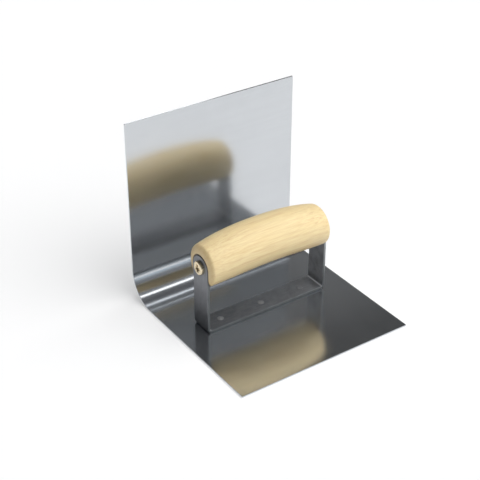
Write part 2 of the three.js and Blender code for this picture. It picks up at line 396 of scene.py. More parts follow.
def strap_outline():
    """Half of the flat strap, with a half round at each end."""
    arm, bend, foot = strap_lengths()
    half = []
    for k in range(ROUND_TOP_STEPS // 2):
        turn = QUARTER * (k + 0.5) / (ROUND_TOP_STEPS // 2)
        half.append((HALF_STRAP * (1 - math.cos(turn)), HALF_STRAP * math.sin(turn)))
    half.append((HALF_STRAP, HALF_STRAP))
    straight = arm - HALF_STRAP
    half += [
        (HALF_STRAP + straight * k / STRAP_FLAT_STEPS, HALF_STRAP)
        for k in range(1, STRAP_FLAT_STEPS)
    ]
    half += [
        (arm + bend * k / STRAP_BEND_STEPS, HALF_STRAP)
        for k in range(STRAP_BEND_STEPS + 1)
    ]
    half += [
        (arm + bend + foot / 2 * k / STRAP_FLAT_STEPS, HALF_STRAP)
        for k in range(1, STRAP_FLAT_STEPS + 1)
    ]
    length = 2 * (arm + bend) + foot
    return half + [(length - s, w) for s, w in reversed(half[:-1])]


def on_strap(distance, width, height):
    """Bends the strap: down the left arm, along the foot and up the right arm."""
    arm, bend, foot = strap_lengths()
    path = [(arm, 0), (bend, QUARTER), (foot, 0), (bend, QUARTER), (arm, 0)]
    start = (-ARM_OUTSIDE + STRAP_GAUGE / 2, STRAP_HIGH.z)
    point, angle = path_point(path, start, -QUARTER, distance)
    return Vector(
        (
            point.x - height * math.sin(angle),
            STRAP_Y + width,
            point.y + height * math.cos(angle),
        )
    )


def screw_hole():
    """The cutter for both arms' screw holes."""
    radius = SHANK_RADIUS + SCREW_CLEARANCE
    reach = ARM_OUTSIDE + OVERRUN
    profile = [(0, -reach), (radius, -reach), (radius, reach), (0, reach)]
    cutter = turned("screw_hole", profile, HOLE_SIDES)
    cutter.data.transform(
        Matrix.Translation((0, STRAP_Y, SCREW_HEIGHT)) @ Matrix.Rotation(QUARTER, 4, "Y")
    )
    return cutter


def make_bracket():
    strap = bent_strip(
        "bracket_strap", strap_outline(), STRAP_GAUGE, STRAP_EDGE, on_strap
    )
    cut(strap, [screw_hole()] + [rivet_hole(node) for node in RIVETS])
    smooth(strap)
    place(strap, "handle_bracket", strap_steel())


# ---------------------------------------------------------------- grip


def grip_centre(x):
    return GRIP_MID_HEIGHT - GRIP_SAG * (x / HALF_GRIP) ** 2


def grip_radius(x):
    """A slow taper from the middle, then the rounding-over of each end."""
    share = x / HALF_GRIP
    taper = TAPER_FROM_MIDDLE * share**2 + (1 - TAPER_FROM_MIDDLE) * share**4
    past = (abs(x) - (HALF_GRIP - END_ROUND_LENGTH)) / END_ROUND_LENGTH
    past = min(1.0, max(0.0, past))
    lost = END_ROUND_DEPTH * (1 - math.sqrt(1 - past**2))
    return GRIP_RADIUS - GRIP_TAPER * taper - lost


def grip_stations():
    straight = HALF_GRIP - END_ROUND_LENGTH
    stations = [straight * (2 * k / GRIP_STATIONS - 1) for k in range(GRIP_STATIONS + 1)]
    for k in range(1, GRIP_ROUND_STEPS + 1):
        x = straight + END_ROUND_LENGTH * math.sin(QUARTER * k / GRIP_ROUND_STEPS)
        stations.append(x)
        stations.insert(0, -x)
    return stations


def grip_ring(x):
    radius, centre = grip_radius(x), grip_centre(x)
    return [
        Vector(
            (
                x,
                STRAP_Y + radius * math.cos(TURN * k / GRIP_SIDES),
                centre + radius * math.sin(TURN * k / GRIP_SIDES),
            )
        )
        for k in range(GRIP_SIDES)
    ]


def slot_ring(x, half_width):
    """The outline of an arm's slot at one x: upright sides and a half-round top."""
    ring = [(x, STRAP_Y + half_width, 0), (x, STRAP_Y - half_width, 0)]
    for k in range(ROUND_TOP_STEPS + 1):
        turn = math.pi * (1 - k / ROUND_TOP_STEPS)
        ring.append(
            (
                x,
                STRAP_Y + half_width * math.cos(turn),
                SCREW_HEIGHT + half_width * math.sin(turn),
            )
        )
    return ring


def arm_slot(side):
    """The cutter for one slot, from its floor out past the grip's end."""
    half_width = HALF_STRAP + SLOT_CLEARANCE
    rings = [slot_ring(side * x, half_width) for x in (ARM_INSIDE, HALF_GRIP + OVERRUN)]
    return mesh_object("arm_slot", *skin_over(rings))


def pilot_hole(side):
    """The cutter for one screw's drilled hole, from past the slot's floor to its cone."""
    radius = THREAD_RADIUS + SCREW_CLEARANCE
    depth = SCREW_LENGTH - STRAP_GAUGE + OVERRUN
    profile = [(0, -depth - radius / 2), (radius, -depth), (radius, OVERRUN), (0, OVERRUN)]
    cutter = turned("pilot_hole", profile, HOLE_SIDES)
    cutter.data.transform(
        Matrix.Translation((side * ARM_INSIDE, STRAP_Y, SCREW_HEIGHT))
        @ Matrix.Rotation(side * QUARTER, 4, "Y")
    )
    return cutter


def make_grip():
    grip = mesh_object("grip_wood", *skin_over([grip_ring(x) for x in grip_stations()]))
    cut(grip, [arm_slot(-1), arm_slot(1), pilot_hole(-1), pilot_hole(1)])
    smooth(grip)
    place(grip, "handle_grip", pale_wood())


# ---------------------------------------------------------------- screws


def screw_radius(depth, turn):
    """A plain shank, then a helical ridge on a core, both dying away to the point."""
    if depth < THREAD_START:
        return SHANK_RADIUS
    to_point = min(1.0, (SCREW_LENGTH - depth) / POINT_LENGTH)
    run_in = min(1.0, (depth - THREAD_START) / THREAD_PITCH)
    ridge = max(0.0, math.cos(TURN * depth / THREAD_PITCH - turn)) * run_in
    full = THREAD_CORE_RADIUS + (THREAD_RADIUS - THREAD_CORE_RADIUS) * ridge
    return max(POINT_RADIUS, full * to_point)


def screw_ring(depth):
    ring = []
    for k in range(THREAD_SIDES):
        turn = TURN * k / THREAD_SIDES
        radius = screw_radius(depth, turn)
        ring.append(Vector((radius * math.cos(turn), radius * math.sin(turn), -depth)))
    return ring


def screw_shank():
    threaded = SCREW_LENGTH - THREAD_START
    rows = round(threaded / THREAD_PITCH * ROWS_PER_PITCH)
    step = threaded / rows
    depths = [-HEAD_CHAMFER, THREAD_START - step]
    depths += [THREAD_START + step * k for k in range(rows + 1)]
    return mesh_object("shank", *skin_over([screw_ring(depth) for depth in depths]))


def screw_head(radius):
    """A pan head: flat underneath, upright at the rim, rounded over and slightly domed."""
    crown = radius - HEAD_ROUND
    shoulder = HEAD_HEIGHT - HEAD_DOME - HEAD_ROUND
    profile = [(0, 0), (radius - HEAD_CHAMFER, 0), (radius, HEAD_CHAMFER)]
    for k in range(HEAD_STEPS + 1):
        turn = QUARTER * k / HEAD_STEPS
        profile.append(
            (crown + HEAD_ROUND * math.cos(turn), shoulder + HEAD_ROUND * math.sin(turn))
        )
    for k in range(HEAD_STEPS - 1, -1, -1):
        share = k / HEAD_STEPS
        profile.append((crown * share, HEAD_HEIGHT - HEAD_DOME * share**2))
    return turned("head", profile, HEAD_SIDES)


def cross_ring(reach, width, height):
    """A plus-shaped ring at one height: four wings of one reach and width."""
    half = width / 2
    corners = ((reach, -half), (reach, half), (half, half))
    wing = [Vector((x, y, height)) for x, y in corners]
    return [
        Matrix.Rotation(QUARTER * k, 3, "Z") @ point for k in range(4) for point in wing
    ]


def cross_recess():
    rings = [
        cross_ring(RECESS_FLOOR_REACH, WING_FLOOR_WIDTH, HEAD_HEIGHT - RECESS_DEPTH),
        cross_ring(RECESS_REACH, WING_WIDTH, HEAD_HEIGHT + HEAD_CHAMFER),
    ]
    return mesh_object("recess", *skin_over(rings))


def make_screw(name, node, side, turn):
    low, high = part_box(node)
    head = screw_head((high.z - low.z) / 2)
    join = head.modifiers.new("join", "BOOLEAN")
    join.operation = "UNION"
    join.solver = "EXACT"
    shank = screw_shank()
    join.object = shank
    apply_modifiers(head)
    bpy.data.objects.remove(shank)
    cut(head, [cross_recess()])
    centre = Vector(
        (side * (ARM_OUTSIDE + SEAT_GAP), (low.y + high.y) / 2, (low.z + high.z) / 2)
    )
    head.data.transform(
        Matrix.Translation(centre)
        @ Matrix.Rotation(side * QUARTER, 4, "Y")
        @ Matrix.Rotation(turn, 4, "Z")
    )
    head.name = name
    head.data.name = name
    smooth(head)
    place(head, node, yellow_zinc())


# ---------------------------------------------------------------- rivets


def make_rivet(name, node):
    seat = STRAP_TOP + SEAT_GAP
    profile = [
        (0, 0),
        (RIVET_HEAD_RADIUS, 0),
        (RIVET_RADIUS, COUNTERSINK_DEPTH),
        (RIVET_RADIUS, seat),
    ]
    for k in range(RIVET_STEPS):
        turn = QUARTER * k / RIVET_STEPS
        profile.append(
            (RIVET_HEAD_RADIUS * math.cos(turn), seat + RIVET_HEAD_HEIGHT * math.sin(turn))
        )
    profile.append((0, seat + RIVET_HEAD_HEIGHT))
    rivet = turned(name, profile, RIVET_SIDES)
    rivet.data.transform(Matrix.Translation(rivet_axis(node)))
    smooth(rivet)
    place(rivet, node, rivet_steel())


# ---------------------------------------------------------------- material helpers


class Nodes:
    """A material's nodes, with short ways to add and join them."""

    def __init__(self, name):
        self.material = bpy.data.materials.new(name)
        self.material.use_nodes = True
        self.tree = self.material.node_tree
        self.shader = self.tree.nodes["Principled BSDF"]

    def add(self, kind, **settings):
        node = self.tree.nodes.new(kind)
        for key, value in settings.items():
            setattr(node, key, value)
        return node

    def join(self, source, target):
        self.tree.links.new(source, target)

    def stretched(self, scale):
        """Object coordinates scaled along each axis, for grain that runs one way."""
        coords = self.add("ShaderNodeTexCoord")
        mapping = self.add("ShaderNodeMapping")
        mapping.inputs["Scale"].default_value = scale
        self.join(coords.outputs["Object"], mapping.inputs["Vector"])
        return mapping.outputs["Vector"]

    def axes(self):
        """Object coordinates, one socket for each axis."""
        coords = self.add("ShaderNodeTexCoord")
        split = self.add("ShaderNodeSeparateXYZ")
        self.join(coords.outputs["Object"], split.inputs["Vector"])
        return split.outputs["X"], split.outputs["Y"], split.outputs["Z"]

    def noise(self, vector, scale, detail=4.0, roughness=0.5, distortion=0.0):
        node = self.add("ShaderNodeTexNoise")
        node.inputs["Scale"].default_value = scale
        node.inputs["Detail"].default_value = detail
        node.inputs["Roughness"].default_value = roughness
        node.inputs["Distortion"].default_value = distortion
        self.join(vector, node.inputs["Vector"])
        return node.outputs["Fac"]

    def span(self, value, low, high, to_low, to_high):
        """Maps a value from one range onto another, with a smooth step."""
        node = self.add("ShaderNodeMapRange", interpolation_type="SMOOTHSTEP")
        node.inputs["From Min"].default_value = low
        node.inputs["From Max"].default_value = high
        node.inputs["To Min"].default_value = to_low
        node.inputs["To Max"].default_value = to_high
        self.join(value, node.inputs["Value"])
        return node.outputs["Result"]

    def math(self, operation, first, second=0.0):
        node = self.add("ShaderNodeMath", operation=operation)
        for socket, value in zip(node.inputs, (first, second)):
            if isinstance(value, (int, float)):
                socket.default_value = value
            else:
                self.join(value, socket)
        return node.outputs["Value"]

    def blend(self, share, first, second):
        """Mixes two colours, each a socket or an (r, g, b) tuple."""
        node = self.add("ShaderNodeMix", data_type="RGBA")
        sockets = [s for s in node.inputs if s.type == "RGBA"]
        self.join(share, node.inputs["Factor"])
        for socket, value in zip(sockets, (first, second)):
            if isinstance(value, tuple):
                socket.default_value = (*value, 1.0)
            else:
                self.join(value, socket)
        return next(s for s in node.outputs if s.type == "RGBA")

    def distance(self, first, second):
        """How far a point is from the axis that the two offsets are measured from."""
        squares = self.math(
            "ADD", self.math("POWER", first, 2.0), self.math("POWER", second, 2.0)
        )
        return self.math("SQRT", squares)

    def surface(self, tone, rough, metal):
        """Sets the shader's colour and roughness from the tree and its metal share."""
        self.join(tone, self.shader.inputs["Base Color"])
        self.join(rough, self.shader.inputs["Roughness"])
        self.shader.inputs["Metallic"].default_value = metal

    def bump(self, heights, strength, distance):
        node = self.add("ShaderNodeBump")
        node.inputs["Strength"].default_value = strength
        node.inputs["Distance"].default_value = distance
        self.join(heights, node.inputs["Height"])
        self.join(node.outputs["Normal"], self.shader.inputs["Normal"])


# ---------------------------------------------------------------- looks

# Colours are linear (red, green, blue). A grain is the noise's scale along X, Y and Z.

NO_GRAIN = (1, 1, 1)
HALF_SPAN = (0.3, 0.7)
FINE_BUMP = 0.1 * MM
COARSE_BUMP = 0.2 * MM

SHEET_GRAIN = (6, 900, 900)
SHEET_SMUDGES = 34.0
SHEET_DARK = (0.605, 0.628, 0.652)
SHEET_LIGHT = (0.635, 0.658, 0.682)
SHEET_LINE = (0.56, 0.575, 0.60)
SHEET_LINE_SHARE = 0.22
SHEET_ROUGHNESS = (0.125, 0.155)
SHEET_LINE_ROUGHNESS = 0.03
SHEET_METAL = 0.96

STRAP_GRAIN = (140, 1500, 140)
STRAP_CLOUDS = 120.0
OUTSIDE_DARK = (0.178, 0.184, 0.198)
OUTSIDE_LIGHT = (0.245, 0.252, 0.270)
# Painted shade: the arms' outer faces are painted darker low down.
ARM_PAINTED_SHADE = (0.10, 0.104, 0.113)
ARM_PAINTED_SHADE_SHARE = 0.32
ARM_SHADE_FULL_HEIGHT = 30 * MM
ARM_SHADE_END_HEIGHT = 46 * MM
LEFT_INSIDE_DARK = (0.19, 0.198, 0.212)
LEFT_INSIDE_LIGHT = (0.25, 0.258, 0.276)
# Painted light: the inside of the U is painted paler towards the right and up the right
# arm.
PAINTED_LIT_INSIDE_DARK = (0.34, 0.35, 0.37)
PAINTED_LIT_INSIDE_LIGHT = (0.42, 0.43, 0.455)
RIGHT_ARM_PAINTED_LIGHT = (0.68, 0.69, 0.72)
RIGHT_ARM_PAINTED_LIGHT_SHARE = 0.6
STRAP_CLOUD = (0.165, 0.171, 0.184)
STRAP_CLOUD_SHARE = 0.4
# Painted highlight: a pale band along the inside of each bend.
BEND_PAINTED_HIGHLIGHT = (0.88, 0.89, 0.91)
SHEARED_DARK = (0.262, 0.279, 0.286)
SHEARED_LIGHT = (0.322, 0.343, 0.351)
STRAP_ROUGHNESS = (0.30, 0.40)
STRAP_GRAIN_ROUGHNESS = 0.05
STRAP_METAL = 0.74

WOOD_WANDER_GRAIN = (9, 40, 40)
WOOD_WANDER = 6 * MM
WOOD_WANDER_UP = 4 * MM
PITH_OFFSET = (0.0, 55 * MM, -8 * MM)
PITH_TILT = (0.0, 0.05, 0.04)
RING_SCALE = 72.0
RING_DISTORTION = 1.6
RING_DETAIL = 3.0
RING_DETAIL_SCALE = 0.7
FIBRE_GRAIN = (45, 1100, 1100)
PORE_GRAIN = (20, 820, 820)
PATCH_GRAIN = (14, 45, 45)
EARLY_WOOD = (0.835, 0.655, 0.350)
LATE_WOOD = (0.700, 0.500, 0.240)
LATE_WOOD_SHARE = 0.42
FIBRE = (0.935, 0.795, 0.470)
FIBRE_SHARE = 0.72
PORE = (0.62, 0.37, 0.18)
PORE_SHARE = 0.38
PATCH = (0.860, 0.662, 0.362)
PATCH_SHARE = 0.3
END_GRAIN = (0.66, 0.47, 0.21)
END_GRAIN_SHARE = 0.5
# Colour of the painted shade round the arms' slots.
SLOT_PAINTED_SHADE = (0.13, 0.085, 0.045)
WOOD_ROUGHNESS = (0.42, 0.56)
LACQUER = 0.25
LACQUER_ROUGHNESS = 0.28
WOOD_GLOW_SHARE = 0.06
WOOD_GLOW_REACH = (1.2 * MM, 0.6 * MM, 0.3 * MM)

ZINC_CLOUDS = 420.0
ZINC_DARK = (0.72, 0.60, 0.40)
ZINC_LIGHT = (0.86, 0.76, 0.56)
# Painted shade on the walls of the screw recess; the centre is left bright.
RECESS_PAINTED_SHADE = (0.23, 0.15, 0.07)
RECESS_PAINTED_SHADE_SHARE = 0.6
ZINC_ROUGHNESS = (0.22, 0.34)

RIVET_PITS = 900.0
RIVET_DARK = (0.36, 0.37, 0.39)
RIVET_LIGHT = (0.50, 0.51, 0.53)
RIVET_ROUGHNESS = (0.34, 0.5)
RIVET_METAL = 0.72

FLOOR_TOOTH = 300.0
FLOOR_DARK = (0.665, 0.665, 0.665)
FLOOR_LIGHT = (0.675, 0.675, 0.675)
FLOOR_ROUGHNESS = 0.9
FLOOR_GLOW = 0.35


def stainless():
    """Satin stainless sheet: faint rolling lines along X, and smudges."""
    nodes = Nodes("stainless_sheet_look")
    lines = nodes.noise(nodes.stretched(SHEET_GRAIN), 1.0, 3.0, 0.6)
    smudge = nodes.noise(nodes.stretched(NO_GRAIN), SHEET_SMUDGES, 5.0, 0.6, 0.4)
    tone = nodes.blend(nodes.span(smudge, *HALF_SPAN, 0.0, 1.0), SHEET_DARK, SHEET_LIGHT)
    lined = nodes.span(lines, *HALF_SPAN, 0.0, SHEET_LINE_SHARE)
    tone = nodes.blend(lined, tone, SHEET_LINE)
    rough = nodes.math(
        "ADD",
        nodes.span(smudge, 0.35, 0.7, *SHEET_ROUGHNESS),
        nodes.span(lines, 0.3, 0.75, 0.0, SHEET_LINE_ROUGHNESS),
    )
    nodes.surface(tone, rough, SHEET_METAL)
    nodes.bump(lines, 0.03, FINE_BUMP)
    return nodes.material


def strap_outside(nodes, light, z):
    """The tone of the arms' outer faces, with painted shade low down."""
    tone = nodes.blend(light, OUTSIDE_DARK, OUTSIDE_LIGHT)
    low_shade = nodes.span(z, ARM_SHADE_FULL_HEIGHT, ARM_SHADE_END_HEIGHT, ARM_PAINTED_SHADE_SHARE, 0.0)
    return nodes.blend(low_shade, tone, ARM_PAINTED_SHADE)


def strap_inside(nodes, light, x, z):
    """The tone inside the U, with painted light: paler towards the right and most of all up
    that arm.
    """
    left = nodes.blend(light, LEFT_INSIDE_DARK, LEFT_INSIDE_LIGHT)
    right = nodes.blend(light, PAINTED_LIT_INSIDE_DARK, PAINTED_LIT_INSIDE_LIGHT)
    rightward_light = nodes.span(x, -ARM_INSIDE, ARM_INSIDE, 0.0, 1.0)
    tone = nodes.blend(rightward_light, left, right)
    up_arm = nodes.span(z, STRAP_TOP + 2 * MM, STRAP_TOP + 8 * MM, 0.0, RIGHT_ARM_PAINTED_LIGHT_SHARE)
    return nodes.blend(nodes.math("MULTIPLY", up_arm, rightward_light), tone, RIGHT_ARM_PAINTED_LIGHT)


def strap_steel():
    """Dark bluish mill steel, paler along its sheared edges, with painted light inside the
    U and a painted highlight in its bends.
    """
    nodes = Nodes("bracket_steel_look")
    grain = nodes.noise(nodes.stretched(STRAP_GRAIN), 1.0, 4.0, 0.6)
    cloud = nodes.noise(nodes.stretched(NO_GRAIN), STRAP_CLOUDS, 5.0, 0.65, 0.3)
    light = nodes.span(grain, *HALF_SPAN, 0.0, 1.0)
    x, y, z = nodes.axes()
    across = nodes.math("ABSOLUTE", x)
    inner = nodes.span(across, ARM_INSIDE + 0.1 * MM, ARM_INSIDE + 0.3 * MM, 1.0, 0.0)
    outside = strap_outside(nodes, light, z)
    tone = nodes.blend(inner, outside, strap_inside(nodes, light, x, z))
    clouded = nodes.span(cloud, 0.4, 0.7, 0.0, STRAP_CLOUD_SHARE)
    tone = nodes.blend(clouded, tone, STRAP_CLOUD)
    # Painted highlight along the inside of each bend, where the foot meets an arm.
    near_arm = nodes.span(across, ARM_INSIDE - 1.4 * MM, ARM_INSIDE - 0.7 * MM, 0.0, 1.0)
    near_foot = nodes.span(z, STRAP_TOP + 0.5 * MM, STRAP_TOP + 1.1 * MM, 1.0, 0.0)
    bend = nodes.math("MULTIPLY", nodes.math("MULTIPLY", near_arm, near_foot), inner)
    tone = nodes.blend(bend, tone, BEND_PAINTED_HIGHLIGHT)
    from_middle = nodes.math("ABSOLUTE", nodes.math("SUBTRACT", y, STRAP_Y))
    sheared = nodes.span(
        from_middle, HALF_STRAP - 0.14 * MM, HALF_STRAP - 0.05 * MM, 0.0, 1.0
    )
    tone = nodes.blend(sheared, tone, nodes.blend(light, SHEARED_DARK, SHEARED_LIGHT))
    rough = nodes.math(
        "ADD",
        nodes.span(cloud, *HALF_SPAN, *STRAP_ROUGHNESS),
        nodes.span(grain, *HALF_SPAN, 0.0, STRAP_GRAIN_ROUGHNESS),
    )
    nodes.surface(tone, rough, STRAP_METAL)
    nodes.bump(grain, 0.12, COARSE_BUMP)
    return nodes.material


def growth_rings(nodes):
    """Rings about a pith off to one side of the grip, wandering a little along it."""
    coords = nodes.add("ShaderNodeTexCoord")
    wander = nodes.noise(nodes.stretched(WOOD_WANDER_GRAIN), 1.0, 3.0, 0.5)
    shifted = nodes.add("ShaderNodeVectorMath", operation="ADD")
    offset = nodes.add("ShaderNodeCombineXYZ")
    sideways = nodes.span(wander, 0.2, 0.8, -WOOD_WANDER, WOOD_WANDER)
    upwards = nodes.span(wander, 0.2, 0.8, WOOD_WANDER_UP, -WOOD_WANDER_UP)
    nodes.join(sideways, offset.inputs["Y"])
    nodes.join(upwards, offset.inputs["Z"])
    nodes.join(coords.outputs["Object"], shifted.inputs[0])
    nodes.join(offset.outputs["Vector"], shifted.inputs[1])
    moved = nodes.add("ShaderNodeMapping")
    moved.inputs["Location"].default_value = PITH_OFFSET
    moved.inputs["Rotation"].default_value = PITH_TILT
    nodes.join(shifted.outputs["Vector"], moved.inputs["Vector"])
    rings = nodes.add(
        "ShaderNodeTexWave", wave_type="RINGS", rings_direction="X", wave_profile="SAW"
    )
    rings.inputs["Scale"].default_value = RING_SCALE
    rings.inputs["Distortion"].default_value = RING_DISTORTION
    rings.inputs["Detail"].default_value = RING_DETAIL
    rings.inputs["Detail Scale"].default_value = RING_DETAIL_SCALE
    nodes.join(moved.outputs["Vector"], rings.inputs["Vector"])
    return rings.outputs["Fac"]


def slot_painted_shade(nodes, outward, y, z):
    """Painted shade: the dark line on the wood round each arm, strongest at the slot's
    edge.
    """
    sideways = nodes.math("SUBTRACT", y, STRAP_Y)
    above = nodes.math("MAXIMUM", nodes.math("SUBTRACT", z, SCREW_HEIGHT), 0.0)
    from_slot = nodes.distance(sideways, above)
    slot_edge = HALF_STRAP + SLOT_CLEARANCE
    gap_shade = nodes.span(from_slot, slot_edge + SLOT_SHADE_FULL, slot_edge + SLOT_SHADE_FADE, 1.0, 0.0)
    past_slot_floor = nodes.span(outward, ARM_INSIDE - MM, ARM_INSIDE, 0.0, 1.0)
    return nodes.math("MULTIPLY", gap_shade, past_slot_floor)


def pale_wood():
    """Pale straight-grained hardwood: growth rings, fibres and pores, under lacquer, with
    painted shade round the arms.
    """
    nodes = Nodes("pale_wood_look")
    rings = growth_rings(nodes)
    fibre = nodes.noise(nodes.stretched(FIBRE_GRAIN), 1.0, 5.0, 0.62)
    pores = nodes.noise(nodes.stretched(PORE_GRAIN), 1.0, 3.0, 0.6)
    patch = nodes.noise(nodes.stretched(PATCH_GRAIN), 1.0, 3.0, 0.5)
    late = nodes.span(rings, 0.4, 1.0, 0.0, LATE_WOOD_SHARE)
    tone = nodes.blend(late, EARLY_WOOD, LATE_WOOD)
    tone = nodes.blend(nodes.span(fibre, 0.38, 0.68, 0.0, FIBRE_SHARE), tone, FIBRE)
    tone = nodes.blend(nodes.span(pores, 0.50, 0.70, 0.0, PORE_SHARE), tone, PORE)
    tone = nodes.blend(nodes.span(patch, 0.35, 0.7, 0.0, PATCH_SHARE), tone, PATCH)
    x, y, z = nodes.axes()
    outward = nodes.math("ABSOLUTE", x)
    end_grain = nodes.span(
        outward, HALF_GRIP - 3 * MM, HALF_GRIP - 0.5 * MM, 0.0, END_GRAIN_SHARE
    )
    tone = nodes.blend(end_grain, tone, END_GRAIN)
    # painted shade round each arm's slot
    tone = nodes.blend(slot_painted_shade(nodes, outward, y, z), tone, SLOT_PAINTED_SHADE)
    nodes.surface(tone, nodes.span(fibre, *HALF_SPAN, *WOOD_ROUGHNESS), 0.0)
    nodes.shader.inputs["Coat Weight"].default_value = LACQUER
    nodes.shader.inputs["Coat Roughness"].default_value = LACQUER_ROUGHNESS
    nodes.shader.inputs["Subsurface Weight"].default_value = WOOD_GLOW_SHARE
    nodes.shader.inputs["Subsurface Radius"].default_value = WOOD_GLOW_REACH
    nodes.bump(nodes.math("ADD", fibre, pores), 0.12, COARSE_BUMP)
    return nodes.material


@functools.cache
def yellow_zinc():
    """Pale yellow zinc plating, clouded, with painted shade on the walls of the recess and
    its centre left bright.
    """
    nodes = Nodes("yellow_zinc_look")
    cloud = nodes.noise(nodes.stretched(NO_GRAIN), ZINC_CLOUDS, 4.0, 0.6, 0.5)
    tone = nodes.blend(nodes.span(cloud, *HALF_SPAN, 0.0, 1.0), ZINC_DARK, ZINC_LIGHT)
    x, y, z = nodes.axes()
    top = ARM_OUTSIDE + HEAD_HEIGHT
    sunk = nodes.span(nodes.math("ABSOLUTE", x), top - 0.8 * MM, top - 0.2 * MM, 1.0, 0.0)
    from_axis = nodes.distance(
        nodes.math("SUBTRACT", y, STRAP_Y), nodes.math("SUBTRACT", z, SCREW_HEIGHT)
    )
    inside = nodes.span(from_axis, RECESS_REACH, RECESS_REACH + 0.3 * MM, 1.0, 0.0)
    # painted shade in the recess, kept off the centre so it stays bright
    off_centre_shade = nodes.span(from_axis, 1.0 * MM, 1.7 * MM, 0.0, RECESS_PAINTED_SHADE_SHARE)
    recess = nodes.math("MULTIPLY", nodes.math("MULTIPLY", sunk, inside), off_centre_shade)
    tone = nodes.blend(recess, tone, RECESS_PAINTED_SHADE)
    nodes.surface(tone, nodes.span(cloud, *HALF_SPAN, *ZINC_ROUGHNESS), 1.0)
    nodes.bump(cloud, 0.08, COARSE_BUMP)
    return nodes.material


@functools.cache
def rivet_steel():
    """Plain dull steel with the fine pitting of a set rivet."""
    nodes = Nodes("rivet_steel_look")
    pits = nodes.noise(nodes.stretched(NO_GRAIN), RIVET_PITS, 4.0, 0.65)
    tone = nodes.blend(nodes.span(pits, 0.35, 0.7, 0.0, 1.0), RIVET_DARK, RIVET_LIGHT)
    nodes.surface(tone, nodes.span(pits, *HALF_SPAN, *RIVET_ROUGHNESS), RIVET_METAL)
    nodes.bump(pits, 0.15, COARSE_BUMP)
    return nodes.material


def floor_paper():
    """Plain white table top with a faint tooth, lit a little from inside."""
    nodes = Nodes("floor_look")
    tooth = nodes.noise(nodes.stretched(NO_GRAIN), FLOOR_TOOTH, 3.0, 0.5)
    tone = nodes.blend(nodes.span(tooth, *HALF_SPAN, 0.0, 1.0), FLOOR_DARK, FLOOR_LIGHT)
    nodes.join(tone, nodes.shader.inputs["Base Color"])
    nodes.shader.inputs["Roughness"].default_value = FLOOR_ROUGHNESS
    nodes.shader.inputs["Specular IOR Level"].default_value = 0.0
    nodes.shader.inputs["Emission Color"].default_value = WHITE
    nodes.shader.inputs["Emission Strength"].default_value = FLOOR_GLOW
    return nodes.material


# ---------------------------------------------------------------- studio

SQUARE = ((-1, -1), (1, -1), (1, 1), (-1, 1))
FLOOR_HALF = 30.0
FLOOR_GAP = 0.02 * MM
KEY_DIRECTION = Vector((0.42, -0.34, 0.84)).normalized()
KEY_STRENGTH = 3.1
KEY_ANGLE = math.radians(75)

CARD_DISTANCE = 1.0
CARD_HEIGHT = 1.6
CARD_HALF_WIDTH = 3.0
CARD_LIFT = 4 * MM
STRIP_PLACE = Vector((0.58, -0.117, 0.503))
STRIP_HALF_LENGTH = 0.46
STRIP_HALF_WIDTH = 0.032
STRIP_STRENGTH = 2.35
PANEL_PLACE = Vector((0.40, CARD_DISTANCE - 0.02, 0.85))
PANEL_HALF_WIDTH = 0.19
PANEL_HALF_HEIGHT = 0.25
PANEL_STRENGTH = 2.0

# The walls' brightness up their height: (share of the height, grey level, blue tint).
FRONT_LEVELS = (
    (0.03, 0.62, 1.25),
    (0.08, 0.50, 1.2),
    (0.13, 0.30, 1.15),
    (0.21, 0.21, 1.1),
    (0.36, 0.26, 1.04),
    (0.43, 0.40, 1.04),
    (0.50, 0.22, 1.04),
    (0.56, 0.145, 1.04),
    (0.61, 0.15, 1.04),
    (0.67, 0.20, 1.02),
)
BACK_LEVELS = (
    (0.0, 0.15, 1.0),
    (0.575, 0.145, 1.0),
    (0.62, 0.045, 1.0),
    (1.0, 0.045, 1.0),
)
EVEN_LEVELS = ((0.0, 1.0, 1.0), (1.0, 1.0, 1.0))

BACK_FROM = 0.25
FRONT_FROM = -0.85
BACK_TONE = (0.075, 0.075, 0.078, 1.0)
FRONT_TONE = (0.30, 0.31, 0.33, 1.0)
WHITE = (1.0, 1.0, 1.0, 1.0)

CAMERA_PLACE = (-0.44252, -0.60702, 0.53084)
CAMERA_AIM = Vector((-0.03013, -0.0062, 0.07903))
CAMERA_LENS = 88.18
CAMERA_SENSOR = 36.0
CAMERA_CLIP = (0.01, 200.0)


def make_floor():
    ring = [Vector((x, y, 0)) * FLOOR_HALF for x, y in SQUARE]
    mesh = bpy.data.meshes.new("floor")
    mesh.from_pydata(ring, [], [(0, 1, 2, 3)])
    floor = bpy.data.objects.new("floor", mesh)
    bpy.context.scene.collection.objects.link(floor)
    floor.location.z = BLADE_LOW.z - FLOOR_GAP
    mesh.materials.append(floor_paper())


def make_key():
    """Broad soft daylight from high on the right. Metal mirrors the cards instead of it."""
    light = bpy.data.lights.new("key", "SUN")
    light.energy = KEY_STRENGTH
    light.angle = KEY_ANGLE
    lamp = bpy.data.objects.new("key", light)
    lamp.rotation_mode = "QUATERNION"
    lamp.rotation_quaternion = (-KEY_DIRECTION).to_track_quat("-Z", "Y")
    lamp.visible_glossy = False
    bpy.context.scene.collection.objects.link(lamp)


